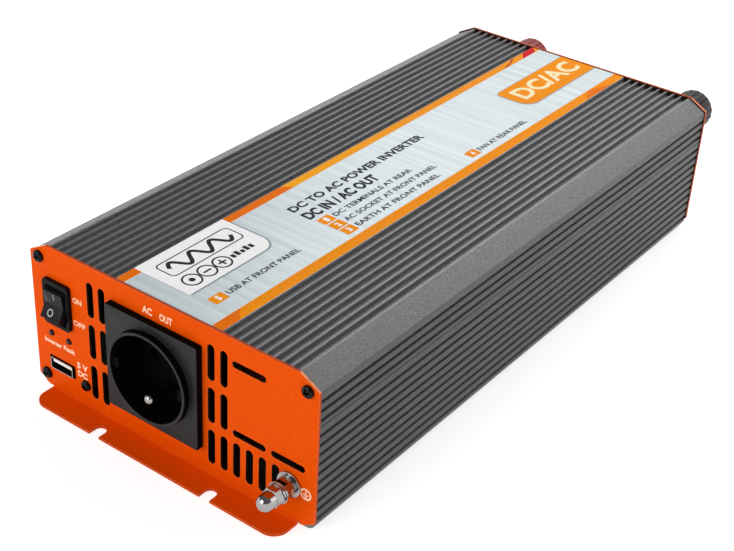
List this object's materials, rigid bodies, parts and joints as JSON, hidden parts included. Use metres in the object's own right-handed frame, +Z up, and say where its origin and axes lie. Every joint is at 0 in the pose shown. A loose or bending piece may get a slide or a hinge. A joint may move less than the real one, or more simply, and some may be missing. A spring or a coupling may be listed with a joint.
{
  "type": "power inverter",
  "caption": "Flat ribbed metal box that turns battery current into mains current, with painted end panels, mains socket, rocker switch, USB port, fan and screw terminals.",
  "frame": {"origin": "middle of the flat base, on the plane that the case and both flanges rest on", "axes": "+X to the right and +Y towards the rear as seen from the front panel, +Z up"},
  "size_m": [0.154, 0.3642, 0.073],
  "materials": {
    "case_aluminium": "fine-grained anthracite powder coat, satin",
    "panel_paint": "bright orange paint, satin",
    "black_steel": "black oxide, semi-gloss",
    "switch_plastic": "fine satin",
    "rocker_plastic": "semi-gloss",
    "nickel": "bright nickel plate",
    "plated_tags": "tin plate",
    "white_plastic": "satin",
    "gold_plate": "gold flash",
    "circuit_board": "solder resist",
    "brass_parts": "turned brass",
    "led_red": "tinted clear resin",
    "socket_plastic": "fine-textured, satin",
    "shutter_plastic": "satin",
    "spring_steel": "bright",
    "red_plastic": "moulded, semi-gloss",
    "black_plastic": "moulded, semi-gloss",
    "insulator": "satin",
    "fan_plastic": "satin",
    "ferrite": "matt sintered",
    "copper": "enamelled copper",
    "capacitor_sleeve": "shrink sleeve",
    "component_black": "moulded epoxy",
    "thermal_pad": "matt",
    "fuse_plastic": "tinted",
    "lead_sleeve": "satin sleeve",
    "label_metal": "printed film with a brushed silver look"
  },
  "bodies": {
    "housing": {"upper_shell": "case_aluminium", "lower_shell": "case_aluminium", "front_panel": "panel_paint", "rear_panel": "panel_paint", "front_screws": "black_steel", "rear_screws": "black_steel", "switch_housing": "switch_plastic", "switch_terminals": "plated_tags", "usb_shell": "nickel", "usb_tongue": "white_plastic", "usb_contacts": "gold_plate", "indicator_board": "circuit_board", "board_spacer": "brass_parts", "spacer_screw": "black_steel", "indicator_leds": "led_red", "socket_body": "socket_plastic", "socket_carrier": "socket_plastic", "socket_earth_pin": "nickel", "socket_contacts": "brass_parts", "shutter_spring": "spring_steel", "socket_rear_cover": "socket_plastic", "socket_cover_screws": "plated_tags", "earth_stud": "nickel", "earth_washers": "nickel", "earth_spring_washers": "nickel", "earth_nuts": "nickel", "earth_cap_nut": "nickel", "red_terminal_base": "red_plastic", "black_terminal_base": "black_plastic", "terminal_inner_insulators": "insulator", "terminal_studs": "brass_parts", "terminal_nuts": "nickel", "fan_frame": "fan_plastic", "fan_screws": "black_steel", "main_pcb": "circuit_board", "pcb_standoffs": "brass_parts", "pcb_screws": "plated_tags", "transformer_cores": "ferrite", "transformer_windings": "copper", "input_capacitors": "capacitor_sleeve", "hv_capacitors": "capacitor_sleeve", "mosfets": "component_black", "clamp_bars": "spring_steel", "thermal_pads": "thermal_pad", "choke_core": "ferrite", "choke_winding": "copper", "busbars": "copper", "blade_fuses": "fuse_plastic", "control_board": "circuit_board", "inner_leads": "lead_sleeve", "top_label": "label_metal"},
    "rocker": {"rocker": "rocker_plastic"},
    "shutter": {"socket_shutter": "shutter_plastic"},
    "fan_rotor": {"fan_rotor": "fan_plastic"},
    "red_washer": {"red_clamp_washer": "brass_parts"},
    "red_knob": {"red_knob": "red_plastic", "red_knob_insert": "brass_parts"},
    "black_washer": {"black_clamp_washer": "brass_parts"},
    "black_knob": {"black_knob": "black_plastic", "black_knob_insert": "brass_parts"}
  },
  "joints": [
    {"name": "rocker_tip", "type": "hinge", "parent": "housing", "child": "rocker", "pos_m": [-0.0615, -0.1595, 0.0467], "axis": [1, 0, 0], "range_deg": [0, 22]},
    {"name": "shutter_lift", "type": "slide", "parent": "housing", "child": "shutter", "axis": [0, 0, 1], "range_m": [0, 0.006], "stiffness_N_per_m": 60, "springref_m": -0.003, "deforming": ["shutter_spring"]},
    {"name": "fan_spin", "type": "hinge", "parent": "housing", "child": "fan_rotor", "pos_m": [0.009, 0.1515, 0.035], "axis": [0, 1, 0], "continuous": true},
    {"name": "red_washer_slide", "type": "slide", "parent": "housing", "child": "red_washer", "axis": [0, 1, 0], "range_m": [0, 0.00625]},
    {"name": "red_knob_turn", "type": "hinge", "parent": "red_washer", "child": "red_knob", "pos_m": [-0.0414, 0.1785, 0.056], "axis": [0, 1, 0], "range_deg": [0, 1800]},
    {"name": "black_washer_slide", "type": "slide", "parent": "housing", "child": "black_washer", "axis": [0, 1, 0], "range_m": [0, 0.00625]},
    {"name": "black_knob_turn", "type": "hinge", "parent": "black_washer", "child": "black_knob", "pos_m": [0.0602, 0.1785, 0.056], "axis": [0, 1, 0], "range_deg": [0, 1800]}
  ],
  "couplings": [
    {"joint": "red_knob_turn", "follows": "red_washer_slide", "rad_per_m": 5026.5},
    {"joint": "black_knob_turn", "follows": "black_washer_slide", "rad_per_m": 5026.5}
  ]
}
